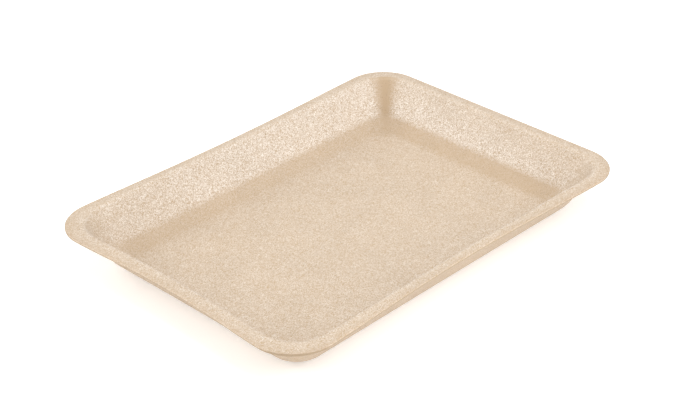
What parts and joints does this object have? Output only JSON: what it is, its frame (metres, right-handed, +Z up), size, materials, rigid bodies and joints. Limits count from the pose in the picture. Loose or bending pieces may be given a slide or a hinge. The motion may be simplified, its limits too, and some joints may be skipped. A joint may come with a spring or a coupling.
{
  "type": "food tray",
  "caption": "Shallow rectangular food tray moulded in one piece, with a flat floor, wide fillets, sloping walls and a narrow rolled rim.",
  "frame": {"origin": "middle of the tray's bounding box, on the surface that it stands on", "axes": "+X along the length towards the end with the narrower rim, +Y towards the back, +Z up out of the open top"},
  "size_m": [0.25, 0.181, 0.0267],
  "materials": {
    "board": "matt, fine-grained tan board, with a stronger grain on the walls than on the floor and the rim"
  },
  "bodies": {
    "root": {"tray": "board"}
  },
  "joints": []
}
